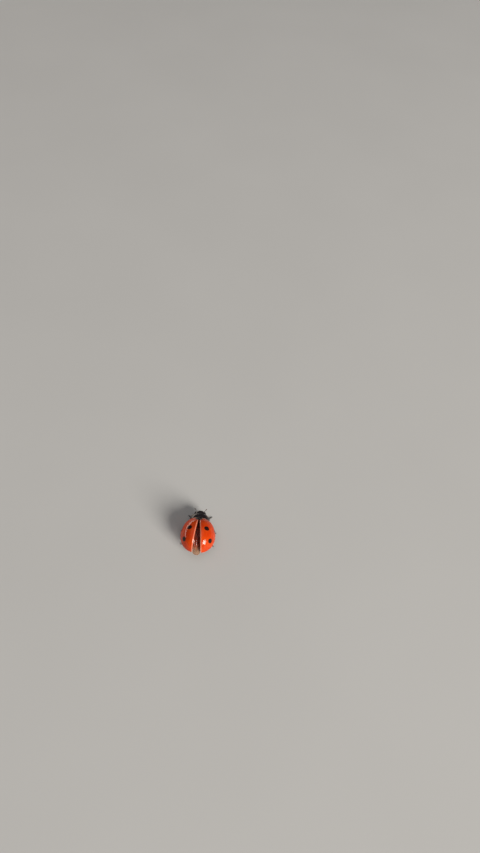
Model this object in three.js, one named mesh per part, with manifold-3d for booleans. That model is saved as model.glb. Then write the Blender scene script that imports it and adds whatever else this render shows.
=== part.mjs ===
// A seven-spot ladybird at life size, standing with its wing cases a little parted.
// Millimetres, +Z up, head towards -Y, feet on the floor at z = 0, midline in the plane x = 0.
// The left side is built with x > 0, and a mirrored group holds the right side.
import * as THREE from "three";
import { mergeVertices } from "three/addons/utils/BufferGeometryUtils.js";
import Module from "manifold-3d";

const wasm = await Module();
wasm.setup();

// ---- Driving dimensions

const GAP = 0.04; // clearance between neighbouring pieces
const BIG = 20; // side of the blocks that trim, larger than the whole insect

const CASE_WIDTH = 4.9; // across both wing cases when shut
const CASE_LENGTH = 5.35; // base of the wing cases to their tips
const CASE_HEIGHT = 2.6; // rim of the wing cases to the crown
const CASE_WALL = 0.42;
const RIM_Z = 1.1; // rim of the wing cases above the floor
const BASE_Y = -1.85; // where the wing cases meet the pronotum
const CROWN_BEHIND_BASE = 2.3; // the widest, highest place lies this far behind the base
const SHOULDER_REACH = 2.9; // the dome would run on this far ahead of the crown
const FRONT_SHARE = 0.25; // an inner dome's front is inset by this share, to keep the base's wall even

const HINGE_X = 0.9; // each wing case swings on a hinge beside the scutellum
const HINGE_RISE = 0.9; // hinge above the rim
const PARTED_DEG = 6.5; // swing outwards from the midline
const LIFT_DEG = 4; // tips raised

const WING_THICK = 0.45; // a folded hind wing, with its layers taken together
const WING_PAST_TIP = 0.5; // how far the folded wings show behind the shut cases
const WING_START_Y = -0.9; // the hind wings' front end, under the cases
const BODY_DEPTH = 0.32; // rim to belly
const WAIST_Y = 0.45; // thorax ends and abdomen starts

const SCUTELLUM = { halfWidth: 0.3, length: 0.5, bottom: 1.9, thick: 1.2 };
const PRONOTUM = { halfWidth: 1.64, front: 1.3, height: 1.42, depth: 0.38, bluntness: 2.7 };
const HEAD = { halfWidth: 0.86, front: 0.6, height: 0.66, y: -2.93, z: 1.5 };
const EYE = { halfWidth: 0.24, front: 0.3, height: 0.36, x: 0.72, y: -3.08, z: 1.56 };
const MOUTH = { halfWidth: 0.4, front: 0.3, height: 0.26, y: -3.42, z: 1.2 };

const ANTENNA = { root: [0.42, -3.38, 1.38], elbow: [0.72, -3.66, 1.42], tip: [0.95, -4.02, 1.36] };
const PALP = { root: [0.3, -3.24, 0.96], tip: [0.48, -3.64, 0.78] };

// Each left leg's joints, and the tip of its foot. The legs are drawn in, so the feet barely show from above.
const LEGS = [
  {
    name: "front",
    hip: [0.5, -2.15, 0.86],
    knee: [1.52, -2.68, 0.95],
    ankle: [1.56, -3.06, 0.34],
    toe: [1.98, -3.44],
  },
  {
    name: "middle",
    hip: [0.62, -0.75, 0.82],
    knee: [1.94, -0.98, 0.96],
    ankle: [2.3, -0.62, 0.34],
    toe: [2.9, -0.5],
  },
  {
    name: "hind",
    hip: [0.55, 0.5, 0.82],
    knee: [1.8, 1.05, 0.98],
    ankle: [2.08, 1.45, 0.34],
    toe: [2.64, 1.82],
  },
];
const FEMUR_RADIUS = 0.26;
const FEMUR_SWELL = 0.05;
const TIBIA_RADIUS = 0.25;
const FOOT_RADIUS = 0.25;
const FOOT_SOLE = 0.09; // the foot's underside is pared flat by this much
const FINEST = 0.006; // detail finer than this is smoothed away
const HEEL_OVERLAP = 0.12; // the foot starts this far behind the ankle, and is pared back from it

const CROWN_Y = BASE_Y + CROWN_BEHIND_BASE;
const CASE_REAR = CASE_LENGTH - CROWN_BEHIND_BASE;

// ---- Solids from geometries and back

function solidFrom(geometry) {
  const bare = geometry.clone();
  bare.deleteAttribute("normal");
  bare.deleteAttribute("uv");
  const merged = mergeVertices(bare, 1e-4);
  return new wasm.Manifold(
    new wasm.Mesh({
      numProp: 3,
      vertProperties: new Float32Array(merged.attributes.position.array),
      triVerts: new Uint32Array(merged.index.array),
    }),
  );
}

function geometryFrom(solid) {
  const mesh = solid.getMesh();
  const indexed = new THREE.BufferGeometry()
    .setAttribute("position", new THREE.BufferAttribute(mesh.vertProperties, 3))
    .setIndex(new THREE.BufferAttribute(mesh.triVerts, 1));
  const faceted = indexed.toNonIndexed();
  faceted.computeVertexNormals();
  return faceted;
}

const mirrored = (solid) => solid.mirror([1, 0, 0]);

// A cut can leave a crumb beside the piece: only the largest body is kept.
function withoutCrumbs(solid) {
  const bodies = solid.decompose().sort((a, b) => b.volume() - a.volume());
  return bodies[0];
}

// A block that fills the half-space on one side of a plane square to an axis.
function halfSpace(axis, from, direction) {
  const block = new THREE.BoxGeometry(BIG, BIG, BIG);
  const shift = { x: 0, y: 0, z: 0 };
  shift[axis] = from + (direction * BIG) / 2;
  return solidFrom(block.translate(shift.x, shift.y, shift.z));
}

// A sphere drawn out to its own reach in each direction, with its poles fore and aft.
// The rear and the depth are as the front and the height where they aren't given.
// A bluntness of 2 leaves it round, and more squares off its ends.
function eggSolid(shape, around, along) {
  const { halfWidth, front, height, rear = front, depth = height, bluntness = 2, x = 0, y, z } = shape;
  const geometry = new THREE.SphereGeometry(1, around, along);
  const p = geometry.attributes.position;
  for (let i = 0; i < p.count; i++) {
    const lengthwise = p.getY(i);
    const round = Math.hypot(p.getX(i), p.getZ(i));
    const blunt = (1 - Math.min(1, Math.abs(lengthwise)) ** bluntness) ** (1 / bluntness);
    const spread = round > 1e-6 ? blunt / round : 0;
    const across = p.getX(i) * spread * halfWidth;
    const back = lengthwise * (lengthwise > 0 ? rear : front);
    const up = p.getZ(i) * spread * (p.getZ(i) > 0 ? height : depth);
    p.setXYZ(i, x + across, y + back, z + up);
  }
  return solidFrom(geometry);
}

// The same shape, larger all round.
function grow(shape, by) {
  const { halfWidth, front, height } = shape;
  return { ...shape, halfWidth: halfWidth + by, front: front + by, height: height + by };
}

// A rounded limb between two points: its radius runs evenly from root to tip and swells between them.
function limb(from, to, root, tip, swell = 0) {
  const [sides, steps] = [10, 6];
  const start = new THREE.Vector3(...from);
  const reach = new THREE.Vector3(...to).sub(start);
  const length = reach.length();
  const profile = [];
  for (let i = 0; i <= steps; i++) {
    const t = (1 - Math.cos((Math.PI * i) / steps)) / 2;
    const rounding = Math.sqrt(Math.max(0, 1 - Math.abs(2 * t - 1) ** 5));
    const radius = (root + (tip - root) * t + swell * Math.sin(Math.PI * t)) * rounding;
    profile.push(new THREE.Vector2(i % steps ? radius : 0, t * length));
  }
  const turn = new THREE.Quaternion().setFromUnitVectors(new THREE.Vector3(0, 1, 0), reach.normalize());
  return solidFrom(new THREE.LatheGeometry(profile, sides).applyQuaternion(turn).translate(...start));
}

// ---- Materials

const finish = (color, roughness) => new THREE.MeshStandardMaterial({ color, roughness, metalness: 0 });
const caseRed = finish(0xd2330b, 0.25);
const shellBlack = finish(0x15110f, 0.35);
const bodyBlack = finish(0x1a1210, 0.5);
const eyeBlack = finish(0x0b0b0c, 0.2);
const feelerBrown = finish(0x4a2a16, 0.45);
const wingAmber = finish(0x9a7248, 0.35);

// Cuts leave needle-thin triangles along their edges. Taken as one surface, they can be smoothed away.
function piece(name, solid, material) {
  const mesh = new THREE.Mesh(geometryFrom(solid.asOriginal().simplify(FINEST)), material);
  mesh.name = name;
  return mesh;
}

// ---- The trunk: domes that nest inside one another

// The wing cases' outer dome, or one that lies inset within it.
function caseDome(inset) {
  const shape = {
    halfWidth: CASE_WIDTH / 2 - inset,
    front: SHOULDER_REACH - FRONT_SHARE * inset,
    rear: CASE_REAR - inset,
    height: CASE_HEIGHT - inset,
    depth: 1.2,
    y: CROWN_Y,
    z: RIM_Z,
  };
  return eggSolid(shape, 32, 22);
}

// The body under the wings. Grown, it is the space that the wings keep clear of.
function trunkDome(grown = 0) {
  const sideInset = CASE_WALL + 2 * GAP;
  const topInset = CASE_WALL + WING_THICK + 3 * GAP;
  const shape = {
    halfWidth: CASE_WIDTH / 2 - sideInset + grown,
    front: SHOULDER_REACH - FRONT_SHARE * sideInset,
    rear: CASE_REAR - sideInset + grown,
    height: CASE_HEIGHT - topInset + grown,
    depth: BODY_DEPTH + grown,
    y: CROWN_Y,
    z: RIM_Z,
  };
  return eggSolid(shape, 28, 18);
}

// The scutellum is the small triangle between the bases of the wing cases.
function scutellumBlock(grown = 0) {
  const halfWidth = SCUTELLUM.halfWidth + grown;
  const outline = new THREE.Shape([
    new THREE.Vector2(-halfWidth, 0),
    new THREE.Vector2(halfWidth, 0),
    new THREE.Vector2(0, SCUTELLUM.length + grown),
  ]);
  const plate = new THREE.ExtrudeGeometry(outline, { depth: SCUTELLUM.thick, bevelEnabled: false });
  return solidFrom(plate.translate(0, BASE_Y + GAP - grown, SCUTELLUM.bottom));
}

function scutellum() {
  return scutellumBlock().intersect(caseDome(0)).subtract(trunkDome(GAP));
}

// ---- The legs

const femurOf = (leg, grown = 0) =>
  limb(leg.hip, leg.knee, FEMUR_RADIUS + grown, FEMUR_RADIUS + grown, FEMUR_SWELL);
const tibiaOf = (leg, grown = 0) =>
  limb(leg.knee, leg.ankle, TIBIA_RADIUS + grown, TIBIA_RADIUS + grown);

// The foot lies along the floor, and a little of its underside is pared away there.
function footOf(leg) {
  const toe = new THREE.Vector3(...leg.toe, FOOT_RADIUS - FOOT_SOLE);
  const ankle = new THREE.Vector3(leg.ankle[0], leg.ankle[1], toe.z);
  const behind = ankle.clone().sub(toe).setLength(HEEL_OVERLAP);
  const heel = ankle.add(behind);
  return limb(heel, toe, FOOT_RADIUS, FOOT_RADIUS).intersect(halfSpace("z", 0, 1));
}

// A leg's three lengths, each pared back from the one before it.
const legSolids = (leg) => ({
  femur: femurOf(leg),
  tibia: tibiaOf(leg).subtract(femurOf(leg, GAP)),
  tarsus: footOf(leg).subtract(tibiaOf(leg, GAP)),
});

// The room that both sides' thighs need in the underside of the trunk.
function hipSockets() {
  const left = LEGS.map((leg) => femurOf(leg, GAP));
  return wasm.Manifold.union([...left, ...left.map(mirrored)]);
}

// ---- Wing case, hind wing and the small parts of the head

function wingCase() {
  const shut = caseDome(0)
    .subtract(caseDome(CASE_WALL))
    .intersect(halfSpace("x", GAP / 2, 1))
    .intersect(halfSpace("z", RIM_Z - GAP / 2, 1));
  const hinge = new THREE.Vector3(HINGE_X, BASE_Y, RIM_Z + HINGE_RISE);
  const swing = new THREE.Euler(
    THREE.MathUtils.degToRad(LIFT_DEG),
    0,
    -THREE.MathUtils.degToRad(PARTED_DEG),
  );
  const open = geometryFrom(shut)
    .translate(-hinge.x, -hinge.y, -hinge.z)
    .applyMatrix4(new THREE.Matrix4().makeRotationFromEuler(swing))
    .translate(hinge.x, hinge.y, hinge.z);
  return solidFrom(open).intersect(halfSpace("y", BASE_Y, 1)).subtract(scutellumBlock(GAP));
}

// One folded wing's outline from above: narrow between the cases' rear walls, and wider behind.
function wingOutline() {
  const end = BASE_Y + CASE_LENGTH + WING_PAST_TIP;
  const inner = GAP / 2;
  const outline = new THREE.Shape();
  outline.moveTo(inner, WING_START_Y);
  outline.lineTo(0.5, WING_START_Y);
  outline.bezierCurveTo(1.1, WING_START_Y + 0.4, 1.2, 1.1, 0.72, 2.4);
  outline.bezierCurveTo(0.5, 2.9, 0.46, 3.2, 0.58, 3.55);
  outline.bezierCurveTo(0.7, 3.8, 0.6, end, 0.36, end);
  outline.quadraticCurveTo(0.15, end, inner, end - 0.3);
  return outline;
}

// A hind wing lies folded on the body's back, and its tip shows behind as a flat tongue.
function hindWing() {
  const prism = (depth) =>
    new THREE.ExtrudeGeometry(wingOutline(), { depth, bevelEnabled: false, curveSegments: 6 });
  const tongue = solidFrom(prism(WING_THICK).translate(0, 0, RIM_Z)).intersect(halfSpace("y", CROWN_Y, 1));
  return trunkDome(WING_THICK + GAP)
    .intersect(solidFrom(prism(2 * CASE_HEIGHT)))
    .intersect(halfSpace("z", RIM_Z, 1))
    .add(tongue)
    .subtract(trunkDome(GAP));
}

// The upper lip and jaws close the front of the head.
const mouth = (grown = 0) => eggSolid(grow(MOUTH, grown), 14, 8).subtract(headRoom);

// The feeler's outer length starts inside the stem, so that the two are one piece.
function antenna() {
  const { root, elbow, tip } = ANTENNA;
  const inStem = new THREE.Vector3(...elbow).lerp(new THREE.Vector3(...root), 0.4);
  const stem = limb(root, elbow, 0.2, 0.24);
  const club = limb(inStem, tip, 0.22, 0.26, 0.03);
  return stem.add(club).subtract(headRoom).subtract(eyeSolid(GAP));
}

function palp() {
  const whole = limb(PALP.root, PALP.tip, 0.2, 0.27, 0.02);
  return withoutCrumbs(whole.subtract(headRoom).subtract(mouth(GAP)));
}

// ---- Head and pronotum

const headSolid = (grown = 0) => eggSolid(grow(HEAD, grown), 20, 12);
const eyeSolid = (grown = 0) => eggSolid(grow(EYE, grown), 12, 8);
const headRoom = headSolid(GAP);
const eyeRoom = eyeSolid(GAP).add(mirrored(eyeSolid(GAP)));
const hipRoom = hipSockets();

function pronotum() {
  const back = BASE_Y - GAP;
  const shield = eggSolid({ ...PRONOTUM, y: back, z: RIM_Z - GAP }, 22, 14);
  return shield.intersect(halfSpace("y", back, -1)).subtract(headRoom).subtract(eyeRoom).subtract(hipRoom);
}

// ---- Assembly

const ladybird = new THREE.Group();
const trunk = trunkDome().subtract(hipRoom).intersect(halfSpace("y", BASE_Y, 1));
ladybird.add(
  piece("head", headSolid().subtract(eyeRoom), shellBlack),
  piece("mouth", mouth(), shellBlack),
  piece("pronotum", pronotum(), shellBlack),
  piece("scutellum", scutellum(), shellBlack),
  piece("thorax", trunk.intersect(halfSpace("y", WAIST_Y, -1)), bodyBlack),
  piece("abdomen", trunk.intersect(halfSpace("y", WAIST_Y + GAP, 1)), bodyBlack),
);

function addSide(side, mirror) {
  const half = new THREE.Group();
  half.scale.x = mirror;
  half.add(
    piece(`wing_case_${side}`, wingCase(), caseRed),
    piece(`hind_wing_${side}`, hindWing(), wingAmber),
    piece(`eye_${side}`, eyeSolid(), eyeBlack),
    piece(`antenna_${side}`, antenna(), feelerBrown),
    piece(`palp_${side}`, palp(), feelerBrown),
  );
  for (const leg of LEGS)
    for (const [part, solid] of Object.entries(legSolids(leg)))
      half.add(piece(`${leg.name}_${part}_${side}`, solid, bodyBlack));
  ladybird.add(half);
}
addSide("left", 1);
addSide("right", -1);

// The origin lies on the floor, under the middle of the insect's length.
const box = new THREE.Box3().setFromObject(ladybird);
ladybird.position.y = -(box.min.y + box.max.y) / 2;

export default ladybird;
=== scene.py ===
# %% [markdown]
# # A seven-spot ladybird, piece by piece
# A ladybird is a set of hard plates. Two domed wing cases meet over the body, a shield called the
# pronotum covers the neck, and the head, feelers and legs are small jointed tubes.
# The lesson makes each plate as its own mesh, because the real ones are separate too.
# The frame gives the places and sizes. This cell loads it, and part_box reads the box of any of its
# parts.

# %% Load the frame
import math

import bmesh
import bpy
from mathutils import Matrix, Vector


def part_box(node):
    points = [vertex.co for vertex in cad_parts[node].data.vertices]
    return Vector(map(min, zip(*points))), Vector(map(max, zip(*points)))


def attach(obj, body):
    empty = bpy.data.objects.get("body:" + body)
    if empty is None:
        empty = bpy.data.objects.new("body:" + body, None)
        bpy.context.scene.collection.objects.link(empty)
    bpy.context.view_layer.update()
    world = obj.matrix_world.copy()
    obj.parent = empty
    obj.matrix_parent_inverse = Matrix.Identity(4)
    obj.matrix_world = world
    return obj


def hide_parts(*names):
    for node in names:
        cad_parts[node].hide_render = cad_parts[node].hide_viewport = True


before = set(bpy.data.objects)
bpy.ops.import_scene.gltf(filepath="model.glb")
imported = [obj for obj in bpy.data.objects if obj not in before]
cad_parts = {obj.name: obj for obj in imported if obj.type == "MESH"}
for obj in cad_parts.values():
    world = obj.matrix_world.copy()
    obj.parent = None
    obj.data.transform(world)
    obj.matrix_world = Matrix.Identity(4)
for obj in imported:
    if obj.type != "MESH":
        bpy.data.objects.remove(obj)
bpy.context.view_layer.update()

print("nodes in the frame:", len(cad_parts))

# %% [markdown]
# ## Sizes
# Blender works in metres here, and a ladybird is a few thousandths of one. Everything is modelled in
# millimetres, because those numbers are easy to read, and each mesh is scaled down once when it is done.
# The wing cases are two halves of one egg, so a few lengths describe them. What the frame's boxes can
# tell, such as the height of the rim, is read from them.

# %% Sizes in millimetres
MM = 0.001
SIDES = {"left": 1, "right": -1}


def box_mm(node):
    low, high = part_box(node)
    return low / MM, high / MM


GAP = 0.04
BASE_Y = box_mm("pronotum")[1].y + GAP  # the wing cases start here, behind the pronotum
RIM_Z = box_mm("hind_wing_left")[0].z
CASE = {"half_width": 2.45, "front": 2.9, "rear": 3.05, "height": 2.6, "shell": 0.1}
CROWN_Y = BASE_Y + 2.3
BODY = {"half_width": 1.95, "front": 2.775, "rear": 2.55, "height": 1.61, "depth": 0.32}
WAIST_Y = box_mm("thorax")[1].y

HINGE = Vector((0.9, BASE_Y, RIM_Z + 0.9))
SWING = Matrix.Rotation(math.radians(4), 4, "X") @ Matrix.Rotation(math.radians(-6.5), 4, "Z")
OPEN = Matrix.Translation(HINGE) @ SWING @ Matrix.Translation(-HINGE)
print("wing cases start at y =", round(BASE_Y, 3), "and their rim is at z =", round(RIM_Z, 3))

# %% [markdown]
# ## The camera
# The camera stands behind the insect and looks steeply down at it. It is given as a place and three
# angles, as one would set a tripod. It is made first, because a camera decides how much detail each
# piece needs.

# %% The camera
CAMERA_AT = Vector((-3.8, 42.84, 90.88))
LOOK_DOWN_DEG = 54.5
LOOK_ASIDE_DEG = -1.46
ROLL_DEG = 5.78

camera = bpy.data.objects.new("camera", bpy.data.cameras.new("camera"))
camera.data.lens = 26
camera.data.sensor_width = 36
camera.data.clip_start = 0.001
camera.matrix_world = (
    Matrix.Translation(CAMERA_AT * MM)
    @ Matrix.Rotation(math.radians(180 + LOOK_ASIDE_DEG), 4, "Z")
    @ Matrix.Rotation(math.radians(90 - LOOK_DOWN_DEG), 4, "X")
    @ Matrix.Rotation(math.radians(ROLL_DEG), 4, "Z")
)
bpy.context.collection.objects.link(camera)
bpy.context.scene.camera = camera
print("camera stands", round(CAMERA_AT.length), "mm from the insect")

# %% [markdown]
# ## Three lights
# Three soft panels make a small studio. The key panel stands low behind the insect's right side, so
# that its reflection falls on the right wing case. A wide panel overhead fills the shadows. A long low
# strip in front and to the left draws a line of light along the round forms, as a window does. Each
# panel is given by the direction in which it stands, and it faces the insect.

# %% Three lights
WARM_WHITE = (1, 0.96, 0.89)
EVENING_WHITE = (1, 0.87, 0.76)


def soft_panel(name, direction, distance, width, height, watts, colour=(1, 1, 1)):
    light = bpy.data.lights.new(name, "AREA")
    light.shape = "ELLIPSE"
    light.size = width * MM
    light.size_y = height * MM
    light.energy = watts
    light.color = colour
    panel = bpy.data.objects.new(name, light)
    towards = Vector(direction).normalized()
    panel.location = towards * distance * MM
    panel.rotation_mode = "QUATERNION"
    panel.rotation_quaternion = towards.to_track_quat("Z", "Y")
    panel.visible_camera = False
    bpy.context.collection.objects.link(panel)


soft_panel(
    "key",
    direction=(-0.67, 0.64, 0.445),
    distance=1200,
    width=575,
    height=575,
    watts=17.5,
    colour=WARM_WHITE,
)
soft_panel("overhead", direction=(0.1, 0, 1), distance=1500, width=2200, height=2200, watts=3.4)
soft_panel(
    "strip",
    direction=(0.8, -0.6, 0.06),
    distance=1400,
    width=2600,
    height=320,
    watts=10,
    colour=EVENING_WHITE,
)
print("lights:", [light.name for light in bpy.data.lights])

# %% [markdown]
# ## World and floor
# A glossy shell mirrors all that surrounds it, and a bright room would wash its red out. So the world
# is dim where it lights the insect, and pale only where the camera sees it. The Light Path node tells
# the two apart. The floor is a plane far wider than the insect, so that its edge is the horizon.

# %% World and floor
FLOOR_SIZE = 6000


def studio_world(lighting, shown):
    world = bpy.data.worlds.new("studio")
    bpy.context.scene.world = world
    world.use_nodes = True
    nodes, links = world.node_tree.nodes, world.node_tree.links
    light = nodes["Background"]
    light.inputs["Color"].default_value = (*lighting, 1)
    backdrop = nodes.new("ShaderNodeBackground")
    backdrop.inputs["Color"].default_value = (*shown, 1)
    choose = nodes.new("ShaderNodeMixShader")
    links.new(nodes.new("ShaderNodeLightPath").outputs["Is Camera Ray"], choose.inputs[0])
    links.new(light.outputs[0], choose.inputs[1])
    links.new(backdrop.outputs[0], choose.inputs[2])
    links.new(choose.outputs[0], nodes["World Output"].inputs["Surface"])


studio_world(lighting=(0.105, 0.105, 0.108), shown=(0.6, 0.61, 0.62))
bpy.context.scene.view_settings.view_transform = "Standard"

bm = bmesh.new()
bmesh.ops.create_grid(bm, x_segments=1, y_segments=1, size=FLOOR_SIZE * MM / 2)
floor_mesh = bpy.data.meshes.new("floor")
bm.to_mesh(floor_mesh)
bm.free()
floor = bpy.data.objects.new("floor", floor_mesh)
bpy.context.collection.objects.link(floor)
print("the floor is", FLOOR_SIZE, "mm wide")

# %% [markdown]
# ## Material helpers
# Every finish is a small tree of nodes that reads the piece's own coordinates. This little class adds
# nodes and links them in one call, so that the finishes below read as recipes. All lengths in the
# recipes are millimetres: the coordinates are multiplied by a thousand first.

# %% Material helpers


class Finish:
    """A Principled material and short ways to feed it."""

    def __init__(self, name, **constants):
        self.material = bpy.data.materials.new(name)
        self.material.use_nodes = True
        self.nodes = self.material.node_tree.nodes
        self.links = self.material.node_tree.links
        self.shader = self.nodes["Principled BSDF"]
        for socket, value in constants.items():
            self.shader.inputs[socket.replace("_", " ")].default_value = value
        coordinates = self.add("ShaderNodeTexCoord").outputs["Object"]
        self.mm = self.vector("SCALE", coordinates, scale=1 / MM)

    def add(self, kind, **settings):
        node = self.nodes.new(kind)
        for key, value in settings.items():
            setattr(node, key, value)
        return node

    def put(self, socket, value):
        if isinstance(value, bpy.types.NodeSocket):
            self.links.new(value, socket)
        else:
            socket.default_value = value

    def math(self, operation, a, b=0.0):
        node = self.add("ShaderNodeMath", operation=operation)
        self.put(node.inputs[0], a)
        self.put(node.inputs[1], b)
        return node.outputs[0]

    def vector(self, operation, a, b=None, scale=None):
        node = self.add("ShaderNodeVectorMath", operation=operation)
        self.put(node.inputs[0], a)
        if b is not None:
            self.put(node.inputs[1], b)
        if scale is not None:
            self.put(node.inputs["Scale"], scale)
        return node.outputs["Value" if operation == "LENGTH" else "Vector"]

    def parts(self, vector):
        node = self.add("ShaderNodeSeparateXYZ")
        self.put(node.inputs[0], vector)
        return node.outputs

    def noise(self, size, detail=2.0, coordinates=None, colour=False):
        node = self.add("ShaderNodeTexNoise")
        self.put(node.inputs["Vector"], coordinates or self.mm)
        node.inputs["Scale"].default_value = 1 / size
        node.inputs["Detail"].default_value = detail
        return node.outputs["Color" if colour else "Fac"]

    def cells(self, size, coordinates=None, feature="F1", disorder=1.0):
        node = self.add("ShaderNodeTexVoronoi", feature=feature)
        self.put(node.inputs["Vector"], coordinates or self.mm)
        node.inputs["Scale"].default_value = 1 / size
        node.inputs["Randomness"].default_value = disorder
        return node.outputs["Distance"]

    def fade(self, value, low, high, to_low=0.0, to_high=1.0):
        node = self.add("ShaderNodeMapRange", interpolation_type="SMOOTHSTEP")
        self.put(node.inputs["Value"], value)
        node.inputs["From Min"].default_value = low
        node.inputs["From Max"].default_value = high
        node.inputs["To Min"].default_value = to_low
        node.inputs["To Max"].default_value = to_high
        return node.outputs["Result"]

    def mix(self, share, a, b, strength=1.0):
        if strength < 1:
            share = self.math("MULTIPLY", share, strength)
        node = self.add("ShaderNodeMix", data_type="RGBA")
        self.put(node.inputs["Factor"], share)
        self.put(node.inputs["A"], (*a, 1) if isinstance(a, tuple) else a)
        self.put(node.inputs["B"], (*b, 1) if isinstance(b, tuple) else b)
        return node.outputs["Result"]

    def colour(self, value):
        self.put(self.shader.inputs["Base Color"], value)

    def uneven_roughness(self, size, detail, low, high):
        """Roughness that wanders between two values, so that the gloss is not the same all over."""
        rough = self.fade(self.noise(size, detail), 0.2, 0.8, low, high)
        self.put(self.shader.inputs["Roughness"], rough)

    def relief(self, *layers):
        """Each layer is a height from 0 to 1 and what that height measures in millimetres."""
        normal = None
        for height, depth in layers:
            bump = self.add("ShaderNodeBump")
            bump.inputs["Distance"].default_value = depth * MM
            self.put(bump.inputs["Height"], height)
            if normal:
                self.put(bump.inputs["Normal"], normal)
            normal = bump.outputs["Normal"]
        self.put(self.shader.inputs["Normal"], normal)
        return self


print("material helpers ready")

# %% [markdown]
# ## Sheets and tubes
# Two ways of making shapes cover most of an insect. A sheet is a grid whose vertices are moved onto a
# curved surface, which suits shells and wings. A tube starts as a circle, and its open edge is extruded
# from station to station, which suits legs and feelers. Each station is a matrix that says where
# the ring lies and how wide it is, so one transform takes the new ring there.

# %% Sheets and tubes
THINNEST = 0.004  # a tube never narrows to less, so that its end rings don't collapse
UP = Vector((0, 0, 1))
STRAIGHT = Vector((0, 0, 0))


def sheet(columns, rows, place):
    """A grid on which place(u, v) says where each vertex goes, with u and v from 0 to 1."""
    bm = bmesh.new()
    bmesh.ops.create_grid(bm, x_segments=columns, y_segments=rows, size=0.5)
    for vert in bm.verts:
        vert.co = place(vert.co.x + 0.5, vert.co.y + 0.5)
    bmesh.ops.remove_doubles(bm, verts=bm.verts, dist=1e-4)
    return bm


def station(centre, forward, half_width, half_height, across=UP):
    """The matrix that takes a unit circle to one ring of a tube."""
    forward = forward.normalized()
    side = forward.cross(across).normalized()
    up = side.cross(forward)
    matrix = Matrix((side * half_width, up * half_height, forward)).transposed().to_4x4()
    return Matrix.Translation(centre) @ matrix


def tube(bm, stations, sides):
    circle = bmesh.ops.create_circle(bm, cap_ends=False, radius=1, segments=sides, matrix=stations[0])
    edges = list(dict.fromkeys(edge for vert in circle["verts"] for edge in vert.link_edges))
    first_edges = edges
    for before, here in zip(stations, stations[1:]):
        grown = bmesh.ops.extrude_edge_only(bm, edges=edges)["geom"]
        verts = [item for item in grown if isinstance(item, bmesh.types.BMVert)]
        edges = [
            item
            for item in grown
            if isinstance(item, bmesh.types.BMEdge) and all(vert in verts for vert in item.verts)
        ]
        bmesh.ops.transform(bm, matrix=here @ before.inverted(), verts=verts)
    for rim in (first_edges, edges):
        bmesh.ops.edgeloop_fill(bm, edges=rim)


def limb(bm, start, end, profile, sides=12, steps=14, flat=1.0, bend=STRAIGHT, across=UP):
    """A tube from start to end. profile(t) is its half width, flat its thickness for its width."""
    line = end - start
    stations = []
    for i in range(steps + 1):
        t = (1 - math.cos(math.pi * i / steps)) / 2
        centre = start + line * t + bend * math.sin(math.pi * t)
        width = max(profile(t), THINNEST)
        stations.append(station(centre, line, width, width * flat, across))
    tube(bm, stations, sides)


def rounded(t, sharpness=5):
    """A factor that closes a tube's two ends with round caps."""
    return max(0.0, 1 - abs(2 * t - 1) ** sharpness) ** 0.5


print("sheets and tubes can be made")

# %% [markdown]
# ## Eggs and mirror images
# Rounded plates start as an egg from create_uvsphere. An insect is the same on both sides, so most
# pieces are made for the left side only and then mirrored. Mirroring turns a mesh inside out, which
# is why its faces are reversed afterwards.

# %% Eggs and mirror images


def egg(bm, centre=(0, 0, 0), radii=(1, 1, 1), around=24, along=16):
    """An egg round centre, with its poles fore and aft, as a list of its vertices."""
    turn = Matrix.Rotation(math.pi / 2, 4, "X")
    size = Matrix.Diagonal((*radii, 1))
    made = bmesh.ops.create_uvsphere(
        bm, u_segments=around, v_segments=along, radius=1, matrix=Matrix.Translation(centre) @ size @ turn
    )
    return made["verts"]


def blunted(point, sharpness):
    """A point of the egg of size 1, moved so that the egg is squared off fore and aft."""
    x, y, z = point
    away = math.hypot(x, z)
    wide = (1 - min(1.0, abs(y)) ** sharpness) ** (1 / sharpness) / away if away > 1e-5 else 0
    return x * wide, y, z * wide


def mirror_copy(bm):
    """The same mesh on the other side of the midline, facing out again."""
    other = bm.copy()
    bmesh.ops.scale(other, vec=(-1, 1, 1), verts=other.verts)
    bmesh.ops.reverse_faces(other, faces=other.faces)
    return other


def on_side(mirror, bm):
    """The mesh as it is for the left side, and its mirror image for the right."""
    return bm if mirror > 0 else mirror_copy(bm)


def face_away_from(bm, centre):
    """Turns an open sheet so that its faces look away from centre."""
    bmesh.ops.recalc_face_normals(bm, faces=bm.faces)
    outwards = sum((face.calc_center_median() - centre).dot(face.normal) > 0 for face in bm.faces)
    if outwards < len(bm.faces) / 2:
        bmesh.ops.reverse_faces(bm, faces=bm.faces)


print("eggs can be made, and meshes mirrored")

# %% [markdown]
# ## From a mesh to a piece
# Every piece ends in the same way: it is scaled from millimetres to metres, gets its finishes, and may
# get a wall and a smoother surface from modifiers.

# %% From a mesh to a piece


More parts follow.
